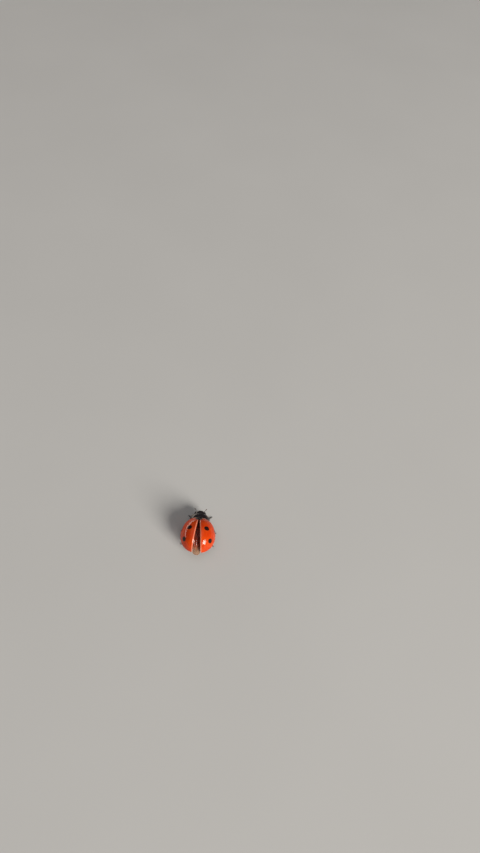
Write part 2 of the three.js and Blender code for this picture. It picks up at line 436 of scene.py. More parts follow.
def piece(name, bm, finishes, replaces=(), shell=0.0, subdivide=0, closed=True):
    """Turns a bmesh in millimetres into an object of the model."""
    if closed:
        bmesh.ops.recalc_face_normals(bm, faces=bm.faces)
    bmesh.ops.scale(bm, vec=(MM, MM, MM), verts=bm.verts)
    mesh = bpy.data.meshes.new(name)
    bm.to_mesh(mesh)
    bm.free()
    mesh.shade_smooth()
    for finish in finishes:
        mesh.materials.append(finish.material)
    made = bpy.data.objects.new(name, mesh)
    bpy.context.collection.objects.link(made)
    if shell:
        wall = made.modifiers.new("wall", "SOLIDIFY")
        wall.thickness = shell * MM
        wall.offset = -1
        wall.use_even_offset = False
        if len(finishes) > 1:
            wall.material_offset = 1
            wall.material_offset_rim = 1
    if subdivide:
        smooth = made.modifiers.new("smooth", "SUBSURF")
        smooth.levels = subdivide
        smooth.render_levels = subdivide
    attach(made, "root")
    if replaces:
        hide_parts(*replaces)
    print(name, "has", len(mesh.polygons), "faces before its modifiers")


print("pieces ride on the body named root")

# %% [markdown]
# ## Spots in space
# A ladybird's spots could be painted in a flat layout, but that would stretch them on the flanks. So
# each spot is a ball in space, and the shell is black where it passes through the ball. Both sides
# get the same spots, because the ball is compared with the distance from the midline. A little noise
# wobbles the outlines. The pale marks on the pronotum and the head are made in the same way.

# %% Spots in space


def mirrored_mm(finish):
    """Coordinates in which the two sides of the insect read alike."""
    x, y, z = finish.parts(finish.mm)
    node = finish.add("ShaderNodeCombineXYZ")
    finish.put(node.inputs[0], finish.math("ABSOLUTE", x))
    finish.put(node.inputs[1], y)
    finish.put(node.inputs[2], z)
    return node.outputs[0]


def wobbled(finish, coordinates, amount, pattern):
    """Coordinates moved to and fro a little, so that a spot's outline is not too exact."""
    wobble = finish.vector("SCALE", finish.noise(0.35, 1, pattern, colour=True), scale=amount)
    centred = finish.vector("SUBTRACT", coordinates, (amount / 2,) * 3)
    return finish.vector("ADD", centred, wobble)


def inside_ball(finish, coordinates, centre, radii, edge=0.06):
    """1 inside an egg-shaped region round centre, 0 outside."""
    off = finish.vector("SUBTRACT", coordinates, centre)
    away = finish.vector("LENGTH", finish.vector("DIVIDE", off, radii))
    return finish.fade(away, 1 - edge, 1 + edge, 1.0, 0.0)


print("spots and marks can be placed")

# %% [markdown]
# ## Where the spots are
# There are three spots on each wing case, and a seventh one behind the scutellum that both share. The
# wing cases stand open, so the coordinates are first swung back to the shut pose by a Mapping node.
# There a spot's place is easy to state: how far along the shell it lies, and how far round.

# %% Where the spots are


def on_case(along, around_deg):
    """A point of the shut left wing case: a share of its length, and degrees round from the midline."""
    y = BASE_Y + along * (CASE["rear"] + CROWN_Y - BASE_Y)
    reach = CASE["front"] if y < CROWN_Y else CASE["rear"]
    r = (1 - ((y - CROWN_Y) / reach) ** 2) ** 0.5
    around = math.radians(around_deg)
    x = CASE["half_width"] * r * math.sin(around)
    return Vector((x, y, RIM_Z + CASE["height"] * r * math.cos(around)))


SPOTS = [  # the centre and the three half widths of each ball
    (Vector((0, BASE_Y + 0.48, 2.95)), (0.54, 0.36, 0.6)),  # the one that both wing cases share
    (on_case(0.453, 26), (0.41, 0.36, 0.5)),
    (on_case(0.758, 52), (0.41, 0.36, 0.42)),
    (on_case(0.37, 75), (0.5, 0.34, 0.34)),
]
PALE_PATCH = (Vector((0.66, BASE_Y + 0.1, 2.6)), (0.45, 0.25, 0.4))


def shut_coordinates(finish):
    """Millimetre coordinates of the shut wing case, measured from its hinge."""
    node = finish.add("ShaderNodeMapping", vector_type="TEXTURE")
    finish.put(node.inputs["Vector"], mirrored_mm(finish))
    node.inputs["Location"].default_value = HINGE
    node.inputs["Rotation"].default_value = SWING.to_euler()
    return node.outputs["Vector"]


print("spots in all:", 2 * len(SPOTS) - 1)

# %% [markdown]
# ## The wing-case finish
# The shell is orange-red chitin under a clear glossy layer. A pale band of painted highlight runs along
# its front edge, a cream patch lies beside the scutellum, and a pink painted highlight lies on the lip
# along the inner edge. Each of these colours is mixed over the one before it, and the black spots
# come last.
# Fine pits cover the shell. They are cells of a Voronoi pattern, seen as relief only.

# %% The wing-case finish
SHOULDER_X = 0.6  # out from here the wing case's front edge draws back
SHOULDER_SLANT = 0.14
LIP_WIDTH = 0.17  # the bevelled lip along the inner edge
ORANGE_RED = (0.63, 0.043, 0.001), (0.76, 0.077, 0.003)
DARK_FLECKS = (0.45, 0.012, 0.001)
# painted highlight: this pink stands in for light caught on the lip, which is the shell's own red
LIP_HIGHLIGHT_PINK = (0.82, 0.17, 0.08), (0.92, 0.42, 0.28)
LIP_WALL = (0.62, 0.09, 0.03)
# painted highlight: a band of light along the front edge, which is the shell's own red
FRONT_EDGE_HIGHLIGHT = (0.88, 0.54, 0.4)
PATCH_CREAM = (0.9, 0.68, 0.5)
SPOT_BLACK = (0.02, 0.005, 0.004)


def wing_case_finish():
    gloss = {"Coat_Weight": 0.65, "Coat_Roughness": 0.12, "Coat_IOR": 1.55}
    finish = Finish("wing_case_shell", Specular_IOR_Level=0.0, **gloss)
    shut = shut_coordinates(finish)
    wavy = wobbled(finish, shut, 0.08, pattern=shut)
    black = 0.0
    for centre, radii in SPOTS:
        black = finish.math("MAXIMUM", black, inside_ball(finish, wavy, centre - HINGE, radii))
    x, y, _ = finish.parts(shut)
    # the bevel of the lip, where the pink painted highlight goes
    bead = finish.fade(x, LIP_WIDTH - 0.04 - HINGE.x, LIP_WIDTH + 0.05 - HINGE.x, 1.0, 0.0)
    out = finish.math("MAXIMUM", finish.math("ADD", x, HINGE.x - SHOULDER_X), 0.0)
    from_base = finish.math("SUBTRACT", y, finish.math("MULTIPLY", out, SHOULDER_SLANT))
    from_base = finish.math("ADD", from_base, finish.math("MULTIPLY", x, 0.08))
    # the strip along the front edge, where the pale painted highlight goes
    margin = finish.fade(from_base, 0.12, 0.26, 1.0, 0.0)
    black = finish.math("MULTIPLY", black, finish.fade(from_base, 0.03, 0.09))
    patch = inside_ball(finish, wavy, PALE_PATCH[0] - HINGE, PALE_PATCH[1], edge=0.2)
    red = finish.mix(finish.fade(finish.noise(1.3, 3), 0.3, 0.7), *ORANGE_RED)
    red = finish.mix(finish.noise(0.1, 3), red, DARK_FLECKS, strength=0.25)
    lip_wall = finish.fade(x, GAP - HINGE.x, 2 * GAP - HINGE.x, 1.0, 0.0)
    # pink painted highlight on the lip; its upright wall keeps a plain red
    lip = finish.mix(finish.noise(0.2, 4), *LIP_HIGHLIGHT_PINK)
    lip = finish.mix(lip_wall, lip, LIP_WALL, strength=0.8)
    red = finish.mix(bead, red, lip, strength=0.9)
    # pale painted highlight along the front edge
    red = finish.mix(margin, red, FRONT_EDGE_HIGHLIGHT, strength=0.85)
    red = finish.mix(patch, red, PATCH_CREAM, strength=0.9)
    finish.colour(finish.mix(black, red, SPOT_BLACK))
    finish.uneven_roughness(0.5, 4, 0.24, 0.36)
    pits = finish.fade(finish.cells(0.07), 0.0, 0.32)
    return finish.relief((finish.noise(1.2, 2), 0.005), (pits, 0.0012))


def lining_finish():
    finish = Finish("wing_case_lining", Roughness=0.45)
    streaks = finish.noise(0.3, 4)
    finish.colour(finish.mix(streaks, (0.36, 0.03, 0.012), (0.62, 0.12, 0.06)))
    return finish.relief((finish.noise(0.06, 2), 0.003))


case_shell = wing_case_finish()
case_lining = lining_finish()
print("the wing-case finish has", len(case_shell.nodes), "nodes")

# %% [markdown]
# ## Three curves
# The formulas below blend one shape into another with three small curves: a straight blend, a step
# with soft ends, and a bump that dies away on both sides.

# %% Three curves


def mix(a, b, t):
    return a + (b - a) * t


def smooth_step(t):
    t = min(1.0, max(0.0, t))
    return t * t * (3 - 2 * t)


def bump_at(value, centre, reach):
    return math.exp(-(((value - centre) / reach) ** 2))


print("half way up a soft step:", smooth_step(0.5))

# %% [markdown]
# ## The wing case's edges
# A wing case, or elytron, is half of an egg-shaped dome. Its front edge slants back behind the
# pronotum and ends in a rounded shoulder, and its inner edge leaves a corner free for the scutellum.
# Each edge gets a function of its own, so that the dome between them can be worked out simply.

# %% The wing case's edges
BASE_HALF_WIDTH = 1.55
ROUNDED_FROM = math.radians(62)  # from here to the side the shoulder is rounded off
SHOULDER_RADIUS = 0.3
BASE_CORNER = {"x": 0.32, "length": 0.55}


def case_base_y(phi):
    """Where the wing case starts: behind the pronotum, later and later towards the shoulder."""
    behind = SHOULDER_SLANT * max(0.0, BASE_HALF_WIDTH * math.sin(phi) - SHOULDER_X)
    below = max(0.0, 1 - math.cos(phi) / math.cos(ROUNDED_FROM))
    shoulder = SHOULDER_RADIUS * (1 - (1 - min(below, 1.0) ** 2) ** 0.5)
    return BASE_Y + GAP / 2 + behind + shoulder


def inner_edge(v):
    """Where the dome starts beside the midline, as an angle round the body, and the lip's width there."""
    first = math.acos((CROWN_Y - BASE_Y) / CASE["front"])
    rough_y = CROWN_Y - math.cos(mix(first, math.pi, v)) * CASE["front"]
    rough_r = max(0.05, math.sin(mix(first, math.pi, v)))
    bevel = (LIP_WIDTH - GAP / 2) * min(1.0, rough_r / 0.45)
    corner = BASE_CORNER["x"] * (1 - (rough_y - BASE_Y) / BASE_CORNER["length"])
    inner_x = max(GAP / 2, corner) + bevel
    return math.asin(min(1.0, inner_x / (CASE["half_width"] * rough_r))), bevel


print("at the side a wing case starts", round(case_base_y(math.pi / 2) - BASE_Y, 2), "mm further back")

# %% [markdown]
# ## The wing cases
# The inner edge turns down in a narrow lip, the front edge is rolled, and the lower edge flares into a
# rim that folds inwards as a ledge. A wing case could be cut from a sphere, but then lip, rim and
# ledge would be separate jobs. A sheet takes them all in one cross-section: u runs across from the
# lip to the ledge, v from base to tip.
# A Solidify modifier gives the thin wall. The right one is the mirrored left one.

# %% The wing cases
CASE_COLUMNS = 54
CASE_ROWS = 76
LIP_SHARE = 7 / CASE_COLUMNS
BEVEL_SHARE = 0.6
FLARE_SHARE = 0.85
RIM_SHARE = 49 / CASE_COLUMNS
LIP_DROP = 0.2
FLARE = 0.035
LEDGE = 0.34
FRONT_ROLL = {"length": 0.035, "depth": 0.05}
CALLUS = {"degrees": 58, "v": 0.13, "height": 0.035}  # the low bump on the shoulder
TIP_FROM = 0.9  # from here on the inner edge draws aside to a rounded tip


def case_point(u, v):
    """A point of the open left wing case. Dome, lip, rim and ledge are worked out in this order."""
    inner_phi, bevel = inner_edge(v)
    across = min(1.0, max(0.0, (u - LIP_SHARE) / (RIM_SHARE - LIP_SHARE)))
    phi = mix(inner_phi, math.pi / 2, across)
    start = math.acos((CROWN_Y - case_base_y(phi)) / CASE["front"])
    theta = mix(start, math.pi, v)
    reach = CASE["front"] if theta < math.pi / 2 else CASE["rear"]
    r = math.sin(theta)
    rolled = FRONT_ROLL["depth"] * max(0.0, 1 - v / FRONT_ROLL["length"]) ** 2
    near_tip = min(1.0, r / 0.3)
    callus = bump_at(math.degrees(phi), CALLUS["degrees"], 12) * bump_at(v, CALLUS["v"], 0.06)
    grow = (1 - rolled) * r + CALLUS["height"] * callus / CASE["height"]
    x = CASE["half_width"] * grow * math.sin(phi)
    z = CASE["height"] * grow * math.cos(phi)
    if u < LIP_SHARE:
        down = 1 - u / LIP_SHARE
        sloping = min(1.0, down / BEVEL_SHARE)
        x -= bevel * sloping
        upright = max(0.0, (down - BEVEL_SHARE) / (1 - BEVEL_SHARE))
        z -= LIP_DROP * mix(upright, sloping, 0.4) * near_tip * mix(0.3, 1.0, smooth_step(v / 0.06))
    flare = smooth_step((u - FLARE_SHARE) / (RIM_SHARE - FLARE_SHARE))
    gutter = bump_at(u, FLARE_SHARE + 0.012, 0.014)
    x += (FLARE * flare - 0.018 * gutter) * near_tip
    z += 0.03 * flare * near_tip
    if u > RIM_SHARE:
        inwards = (u - RIM_SHARE) / (1 - RIM_SHARE)
        width = LEDGE * near_tip * mix(1.0, 0.45, smooth_step(v * 1.2)) * smooth_step(0.2 + v / 0.1)
        x -= width * inwards
        z -= 0.05 * math.sin(math.pi * min(1.0, inwards * 1.4) * 0.7) * near_tip
    apex = smooth_step((v - TIP_FROM) / (1 - TIP_FROM))
    x = max(x, GAP / 2) + 0.12 * apex * (1 - across * (1 - apex))
    return OPEN @ Vector((x, CROWN_Y - math.cos(theta) * reach, RIM_Z + z))


left_case = sheet(CASE_COLUMNS, CASE_ROWS, case_point)
face_away_from(left_case, Vector((0.8, CROWN_Y, RIM_Z)))
right_case = mirror_copy(left_case)
for side, bm in (("left", left_case), ("right", right_case)):
    piece(
        f"elytron_{side}",
        bm,
        [case_shell, case_lining],
        [f"wing_case_{side}"],
        shell=CASE["shell"],
        subdivide=1,
        closed=False,
    )

# %% [markdown]
# ## The black-shell finish
# Pronotum, head and scutellum are black and glossy, with finer pits than the wing cases. The
# pronotum's front corners are cream, and so are two small marks beside the eyes. The marks are again
# regions in space, mirrored by taking the distance from the midline.

# %% The black-shell finish
PRONOTUM_BACK = BASE_Y - GAP
JET_BLACK = (0.006, 0.004, 0.006), (0.02, 0.012, 0.015)
CREAM = (0.8, 0.66, 0.42), (0.68, 0.5, 0.28)
CORNER_MARK = (1.12, PRONOTUM_BACK - 0.92, 1.44), (0.38, 0.4, 0.46)
EYE_MARK = (0.47, -3.3, 1.76), (0.1, 0.14, 0.15)


def black_shell_finish(name, marks=(), gloss=0.24):
    finish = Finish(name, Coat_Weight=0.35, Coat_Roughness=0.14, Specular_IOR_Level=0.4)
    wavy = wobbled(finish, mirrored_mm(finish), 0.06, pattern=finish.mm)
    pale = 0.0
    for centre, radii in marks:
        pale = finish.math("MAXIMUM", pale, inside_ball(finish, wavy, centre, radii))
    black = finish.mix(finish.noise(0.5, 3), *JET_BLACK)
    cream = finish.mix(finish.noise(0.15, 3), *CREAM)
    finish.colour(finish.mix(pale, black, cream))
    finish.uneven_roughness(0.3, 3, gloss, gloss + 0.12)
    pits = finish.fade(finish.cells(0.05), 0.0, 0.45)
    return finish.relief((finish.noise(0.6, 2), 0.008), (pits, 0.0025))


shield_shell = black_shell_finish("pronotum_shell", [CORNER_MARK])
head_shell = black_shell_finish("head_shell", [EYE_MARK])
plain_shell = black_shell_finish("black_shell")
print("three black shells are ready")

# %% [markdown]
# ## The pronotum
# The shield over the neck is widest at the back, squared off in front and cut away in a shallow bay
# where the head fits, with a corner on each side that reaches forward beside the eye.
# It is a sheet again: phi goes round the back from one side margin to the other, and v goes from the
# rear edge to the front edge, whose distance depends on phi. That makes the bay.

# %% The pronotum
SHIELD = {"half_width": 1.64, "front": 1.3, "height": 1.42, "bluntness": 2.7}
SHIELD_Z = RIM_Z - GAP
SIDE_MARGIN = math.radians(99)
HIND_TUCK = 0.045  # the hind corners draw in by this share, so that they are round from above
MARGIN = 0.03  # the side margin stands out by this much
BAY_REACH = 0.7  # the bay lies at this share of the length, and the front corners reach further
CORNER_REACH = 0.19


def shield_reach(degrees):
    """How far forward the shield comes, as a share of its length."""
    corner = smooth_step((degrees - 46) / 26)
    tucked = smooth_step((degrees - 78) / 21)
    return BAY_REACH + CORNER_REACH * corner - 0.16 * tucked


def shield_point(u, v):
    """A point of the shield, whose edges are rolled down in front and behind and flared at the sides."""
    phi = mix(-SIDE_MARGIN, SIDE_MARGIN, u)
    degrees = abs(math.degrees(phi))
    t = shield_reach(degrees) * v
    r = (1 - t ** SHIELD["bluntness"]) ** (1 / SHIELD["bluntness"])
    front_roll = 0.05 * smooth_step((v - 0.94) / 0.06)
    back_roll = 0.02 * (1 - smooth_step(v / 0.04))
    r -= front_roll + back_roll
    outer = smooth_step((degrees - 82) / 10)
    tuck = HIND_TUCK * smooth_step((degrees - 45) / 35) * (1 - v) ** 6
    x = (SHIELD["half_width"] - MARGIN + MARGIN * outer) * (1 - tuck) * r * math.sin(phi)
    z = SHIELD["height"] * r * math.cos(phi)
    corner = 0.08 * smooth_step((degrees - 32) / 50) + 0.13 * smooth_step((degrees - 74) / 25)
    return Vector((x, PRONOTUM_BACK - SHIELD["front"] * t - corner * (1 - v) ** 3, SHIELD_Z + z))


bm = sheet(72, 26, shield_point)
face_away_from(bm, Vector((0, PRONOTUM_BACK - 0.5, SHIELD_Z)))
piece(
    "pronotum_shield",
    bm,
    [shield_shell],
    ["pronotum"],
    shell=0.09,
    subdivide=1,
    closed=False,
)

# %% [markdown]
# ## The scutellum
# A small black triangle fills the corner between the wing cases' bases. It starts as one flat
# triangle, which is subdivided, bent to the slope of the dome and given a thickness. Its sharp edges
# are bevelled at the end, as a tiny plate's are.

# %% The scutellum
SCUTELLUM = {"half_width": 0.27, "length": 0.44, "thickness": 0.16, "bevel": 0.035}


def dome_z(x, y, dome):
    """How high a dome, given by its lengths, stands over x and y."""
    reach = dome["front"] if y < CROWN_Y else dome["rear"]
    inside = 1 - (x / dome["half_width"]) ** 2 - ((y - CROWN_Y) / reach) ** 2
    return RIM_Z + dome["height"] * max(0.0, inside) ** 0.5


bm = bmesh.new()
left, right = SCUTELLUM["half_width"], -SCUTELLUM["half_width"]
outline = (right, BASE_Y), (left, BASE_Y), (0, BASE_Y + SCUTELLUM["length"])
corners = [bm.verts.new((x, y, 0)) for x, y in outline]
bmesh.ops.contextual_create(bm, geom=corners)
bmesh.ops.subdivide_edges(bm, edges=bm.edges, cuts=5, use_grid_fill=True)
for vert in bm.verts:
    x, y, _ = vert.co
    arch = 0.6 * x * x
    bent_front = 0.14 * max(0.0, 1 - (y - BASE_Y) / 0.16) ** 2
    vert.co.z = dome_z(x, y, CASE) - GAP / 2 - arch - bent_front
bmesh.ops.recalc_face_normals(bm, faces=bm.faces)
bmesh.ops.solidify(bm, geom=bm.faces, thickness=SCUTELLUM["thickness"])
bmesh.ops.recalc_face_normals(bm, faces=bm.faces)
bmesh.ops.bevel(
    bm,
    geom=[edge for edge in bm.edges if edge.calc_face_angle(0) > math.radians(50)],
    offset=SCUTELLUM["bevel"],
    segments=3,
    affect="EDGES",
    profile=0.5,
    material=-1,
)
piece("scutellum_plate", bm, [plain_shell], ["scutellum"], subdivide=1)

# %% [markdown]
# ## The body finish
# The underside and the legs are black too, but duller: short hairs and fine cross-wrinkles scatter the
# light. The back under the wings is softer skin, and it is dark reddish brown.

# %% The body finish


def body_finish(name, dark, light, gloss=0.38):
    finish = Finish(name)
    finish.colour(finish.mix(finish.noise(0.35, 4), dark, light))
    finish.uneven_roughness(0.2, 3, gloss, gloss + 0.2)
    wrinkles = finish.noise(0.05, 3, finish.vector("MULTIPLY", finish.mm, (0.35, 1.6, 1.0)))
    return finish.relief((wrinkles, 0.01), (finish.cells(0.045), 0.004))


body_skin = body_finish("body_skin", dark=(0.012, 0.008, 0.007), light=(0.04, 0.02, 0.016))
back_skin = body_finish("back_skin", dark=(0.08, 0.009, 0.007), light=(0.18, 0.022, 0.013), gloss=0.3)
leg_skin = body_finish("leg_skin", dark=(0.012, 0.009, 0.008), light=(0.05, 0.03, 0.022), gloss=0.3)
print("body finishes ready")

# %% [markdown]
# ## The body's egg
# Thorax and abdomen are cut from one egg, so that their sides run on. The egg is flat below and domed
# above, and its front half is longer than its rear half. The waist is a plane cut by bisect_plane,
# and holes_fill closes it.

# %% The body's egg


def body_egg():
    bm = bmesh.new()
    for vert in egg(bm, around=64, along=96):
        x, y, z = vert.co
        reach = BODY["front"] if y < 0 else BODY["rear"]
        rise = BODY["height"] if z > 0 else BODY["depth"]
        vert.co = (x * BODY["half_width"], CROWN_Y + y * reach, RIM_Z + z * rise)
    return bm


def cut_between(bm, front, back):
    for y, keep_behind in ((front, True), (back, False)):
        bmesh.ops.bisect_plane(
            bm,
            geom=list(bm.verts) + list(bm.edges) + list(bm.faces),
            plane_co=(0, y, 0),
            plane_no=(0, 1, 0),
            clear_inner=keep_behind,
            clear_outer=not keep_behind,
        )
    bmesh.ops.holes_fill(bm, edges=bm.edges, sides=0)


def body_piece(name, bm, node):
    """The underside is black, and the back under the wings is reddish."""
    for face in bm.faces:
        face.material_index = int(face.calc_center_median().z > RIM_Z)
    piece(name, bm, [body_skin, back_skin], [node])


print("the body ends at y =", round(CROWN_Y + BODY["rear"], 3))

# %% [markdown]
# ## Thorax
# The thorax carries the legs and the wings. Its underside has one groove along it and one across,
# where its plates meet, and its back has a furrow along the midline.

# %% Thorax
bm = body_egg()
cut_between(bm, BASE_Y, WAIST_Y)
for vert in bm.verts:
    if vert.co.z < RIM_Z:
        groove = bump_at(vert.co.x, 0, 0.06) + bump_at(vert.co.y, -0.95, 0.05)
        vert.co.z += 0.05 * groove
    else:
        vert.co.z -= 0.16 * bump_at(vert.co.x, 0, 0.16) + 0.06 * bump_at(vert.co.y, -0.3, 0.08)
body_piece("thorax_plates", bm, "thorax")

# %% [markdown]
# ## Abdomen
# The abdomen's plates overlap like roof tiles from front to back. Moving every ring of the egg in or
# out by a saw-tooth of its place along the body gives those steps.

# %% Abdomen
PLATES = 6
PLATE_STEP = 0.045

bm = body_egg()
cut_between(bm, WAIST_Y + GAP, CROWN_Y + 2 * BODY["rear"])
plate_length = (CROWN_Y + BODY["rear"] - WAIST_Y) / PLATES
for vert in bm.verts:
    place = (vert.co.y - WAIST_Y) / plate_length
    step = PLATE_STEP * (place % 1 - 0.5) * smooth_step((PLATES - place) * 2)
    centre = Vector((0, vert.co.y, RIM_Z))
    out = vert.co - centre
    if out.length > 1e-3:
        vert.co += out.normalized() * step
body_piece("abdomen_plates", bm, "abdomen")

# %% [markdown]
# ## The wing finishes
# The flying wings are a thin membrane, smoky red over the back and paler where their tips show
# behind. It lets some light through, which the shader's Alpha gives, and fine creases run along it.
# The veins that stiffen it are dark at the root and straw-coloured at the tip.

# %% The wing finishes


def wing_finish():
    finish = Finish("wing_membrane", Roughness=0.22, Coat_Weight=0.35, Coat_Roughness=0.1, Alpha=0.64)
    _, y, _ = finish.parts(finish.mm)
    smoky = finish.mix(finish.noise(0.25, 4), (0.36, 0.028, 0.011), (0.62, 0.1, 0.042))
    pale = finish.mix(finish.noise(0.15, 4), (0.42, 0.18, 0.085), (0.7, 0.4, 0.23))
    finish.colour(finish.mix(finish.fade(y, 2.5, 3.6), smoky, pale))
    creases = finish.noise(0.09, 4, finish.vector("MULTIPLY", finish.mm, (1.0, 0.25, 1.0)))
    return finish.relief((creases, 0.018))


def vein_finish():
    finish = Finish("wing_vein", Roughness=0.35)
    _, y, _ = finish.parts(finish.mm)
    dark = finish.mix(finish.noise(0.1, 3), (0.05, 0.016, 0.01), (0.16, 0.065, 0.035))
    finish.colour(finish.mix(finish.fade(y, 2.6, 3.5), dark, (0.62, 0.42, 0.22)))
    return finish.relief((finish.noise(0.03, 2), 0.003))


membrane = wing_finish()
vein = vein_finish()
print("wing finishes ready")

# %% [markdown]
# ## The folded hind wings
# Under the wing cases lie the flying wings, folded lengthwise and across, and their tips show behind.
# A ladybird folds them by itself, but a still model only needs the result: a sheet that lies along
# the back, with long pleats pressed into it. Two functions say where its edges run.

# %% The folded hind wings
WING_FRONT_Y, WING_TIP_Y = (corner.y for corner in box_mm("hind_wing_left"))
WING_BED = {  # the back, a little larger, so that the wings lie on it
    "half_width": BODY["half_width"] + 0.1,
    "front": BODY["front"],
    "rear": BODY["rear"] + 0.1,
    "height": BODY["height"] + 0.12,
}
TONGUE_Z = RIM_Z + 0.28  # the height of the tips, which reach past the body
PLEATS = 2


def wing_inner_x(v):
    """The inner edges part in front, where the thorax shows, and overlap behind."""
    overlap = 0.2 * smooth_step((v - 0.2) / 0.12) * (1 - smooth_step((v - 0.75) / 0.2))
    return 0.36 * (1 - smooth_step(v / 0.2)) - overlap


def wing_outer_x(v):
    """Broad over the back, narrow at the cross fold, and a rounded lobe behind."""
    broad = 0.5 + 0.5 * math.sin(math.pi * min(1.0, v / 0.64)) ** 0.8
    narrow = mix(broad, 0.5, smooth_step((v - 0.45) / 0.22))
    lobe = mix(narrow, 0.6, smooth_step((v - 0.76) / 0.1))
    return lobe * max(0.0, 1 - max(0.0, (v - 0.88) / 0.12) ** 2.4) ** 0.5


def smooth_max(a, b, softness):
    """The larger of two heights, with a soft turn where they cross."""
    return (a + b + math.hypot(a - b, softness)) / 2


def wing_point(u, v, raised=0.0):
    y = mix(WING_FRONT_Y, WING_TIP_Y - 0.02, v)
    inner = wing_inner_x(v)
    x = mix(inner, max(wing_outer_x(v), inner + 0.02), u)
    on_back = dome_z(x, y, WING_BED)
    behind = TONGUE_Z - 0.12 * smooth_step((y - 3.2) / 0.9) - 0.3 * x * x
    flat_tip = 1 - 0.75 * smooth_step((v - 0.72) / 0.16)
    pleat = 0.035 * math.cos(2 * math.pi * PLEATS * u) * smooth_step(v / 0.2) * flat_tip
    cross_fold = 0.05 * bump_at(v, 0.56 + 0.06 * u, 0.018)
    return Vector((x, y, smooth_max(on_back, behind, 0.3) + pleat + cross_fold + raised))


print("the wings reach from y =", round(WING_FRONT_Y, 3), "to", round(WING_TIP_Y, 3))

# %% [markdown]
# ## Membrane and veins
# The veins are thin tubes that run along the pleats and round some cells of the membrane. They are
# placed by the same function as the sheet, a little higher, so they can't come off it. The left wing
# lies on the right one, so it is raised as well.

# %% Membrane and veins
STACKED = {"left": 0.05, "right": 0.0}
VEIN_LIFT = 0.012


def vein_line(bm, places, radius, raised, taper=1.0):
    """A tube through places (u, v) of the wing."""
    points = [wing_point(u, v, raised) for u, v in places]
    last = len(points) - 1
    stations = []
    for i, point in enumerate(points):
        ahead = points[min(i + 1, last)] - points[max(i - 1, 0)]
        width = radius * mix(1.0, taper, i / last)
        stations.append(station(point, ahead, width, width))
    tube(bm, stations, 6)


def straight(u, v_start, v_end, steps=40):
    """A vein along the wing, with its points closer together towards the tip."""
    return [(u, mix(v_start, v_end, math.sin(math.pi / 2 * i / steps))) for i in range(steps + 1)]


def cell(u, v, half_u, half_v, steps=20):
    """A closed loop of vein round one cell of the membrane."""
    angles = [2 * math.pi * i / steps for i in range(steps + 1)]
    return [(u + half_u * math.cos(angle), v + half_v * math.sin(angle)) for angle in angles]


for side, mirror in SIDES.items():
    stacked = STACKED[side]
    bm = sheet(30, 90, lambda u, v: wing_point(u, math.sin(v * math.pi / 2), stacked))
    face_away_from(bm, Vector((0.5, CROWN_Y, 0)))
    veins = bmesh.new()
    lift = stacked + VEIN_LIFT
    for u, v_start, v_end, radius in (
        (0.02, 0.0, 0.9, 0.018),
        (0.3, 0.02, 0.74, 0.016),
        (0.55, 0.02, 0.8, 0.016),
        (0.97, 0.03, 0.985, 0.022),
    ):
        vein_line(veins, straight(u, v_start, v_end), radius, lift, taper=0.7)
    vein_line(veins, cell(0.5, 0.87, 0.26, 0.07), 0.011, lift)
    if side == "left":
        vein_line(veins, cell(0.17, 0.335, 0.15, 0.055), 0.022, lift)
    piece(
        f"wing_membrane_{side}",
        on_side(mirror, bm),
        [membrane],
        [f"hind_wing_{side}"],
        shell=0.02,
        closed=False,
    )
    piece(f"wing_veins_{side}", on_side(mirror, veins), [vein])

# %% [markdown]
# ## The head
# The head is a wide capsule, squared off in front and narrower below. It starts as an egg, and a
# formula adds a step above the lip, a dent in the brow and a hollow beside each eye. The eyes are
# pieces of their own, because their surface is another one.

# %% The head
HEAD_RADII = Vector((0.84, 0.6, 0.65))
HEAD_LOW, HEAD_HIGH = box_mm("head")
EYE_LOW, EYE_HIGH = box_mm("eye_left")
EYE_AT = (EYE_LOW + EYE_HIGH) / 2
HEAD_AT = Vector((0, EYE_AT.y + 0.15, (HEAD_LOW.z + HEAD_HIGH.z) / 2))

bm = bmesh.new()
for vert in egg(bm, around=80, along=56):
    x, y, z = blunted(vert.co, 2.6)
    in_front = max(0.0, -y)
    narrow = mix(1.0, 0.7, smooth_step(-z))
    beside_eyes = 0.05 * bump_at(abs(x), 0.58, 0.14) * in_front
    lip_step = 0.05 * smooth_step((-0.2 - z) / 0.05) * smooth_step((0.6 - abs(x)) / 0.1) * in_front
    brow_dent = 0.02 * bump_at(z, 0.1, 0.3) * bump_at(x, 0, 0.25) * in_front
    vert.co = HEAD_AT + HEAD_RADII * Vector((x * narrow, y, z))
    vert.co.y += beside_eyes + brow_dent - lip_step
piece("head_capsule", bm, [head_shell], ["head"])

# %% [markdown]
# ## The eyes
# A compound eye is packed with hexagonal lenses, far too fine to model one by one at this scale. The
# egg gives the shape, and the lenses are relief from the distance to each cell's edge, which leaves a
# rounded bead in every cell.

# %% The eyes


def eye_finish():
    finish = Finish("eye_lenses", Roughness=0.16, Coat_Weight=0.7, Coat_Roughness=0.05)
    finish.colour(finish.mix(finish.noise(0.25, 2), (0.006, 0.005, 0.007), (0.03, 0.02, 0.024)))
    lenses = finish.fade(finish.cells(0.024, feature="DISTANCE_TO_EDGE", disorder=0.6), 0.0, 0.4)
    return finish.relief((lenses, 0.0006))


clearance = Vector((0.01, 0.01, 0.01))
eye_radii = (EYE_HIGH - EYE_LOW) / 2 - clearance
eye_lenses = eye_finish()
for side, mirror in SIDES.items():
    bm = bmesh.new()
    for vert in egg(bm, Vector((mirror * EYE_AT.x, EYE_AT.y, EYE_AT.z)), eye_radii, around=48, along=32):
        vert.co.x -= mirror * 0.04 * bump_at(vert.co.y, EYE_LOW.y, 0.14)
    piece(f"compound_eye_{side}", bm, [eye_lenses], [f"eye_{side}"])

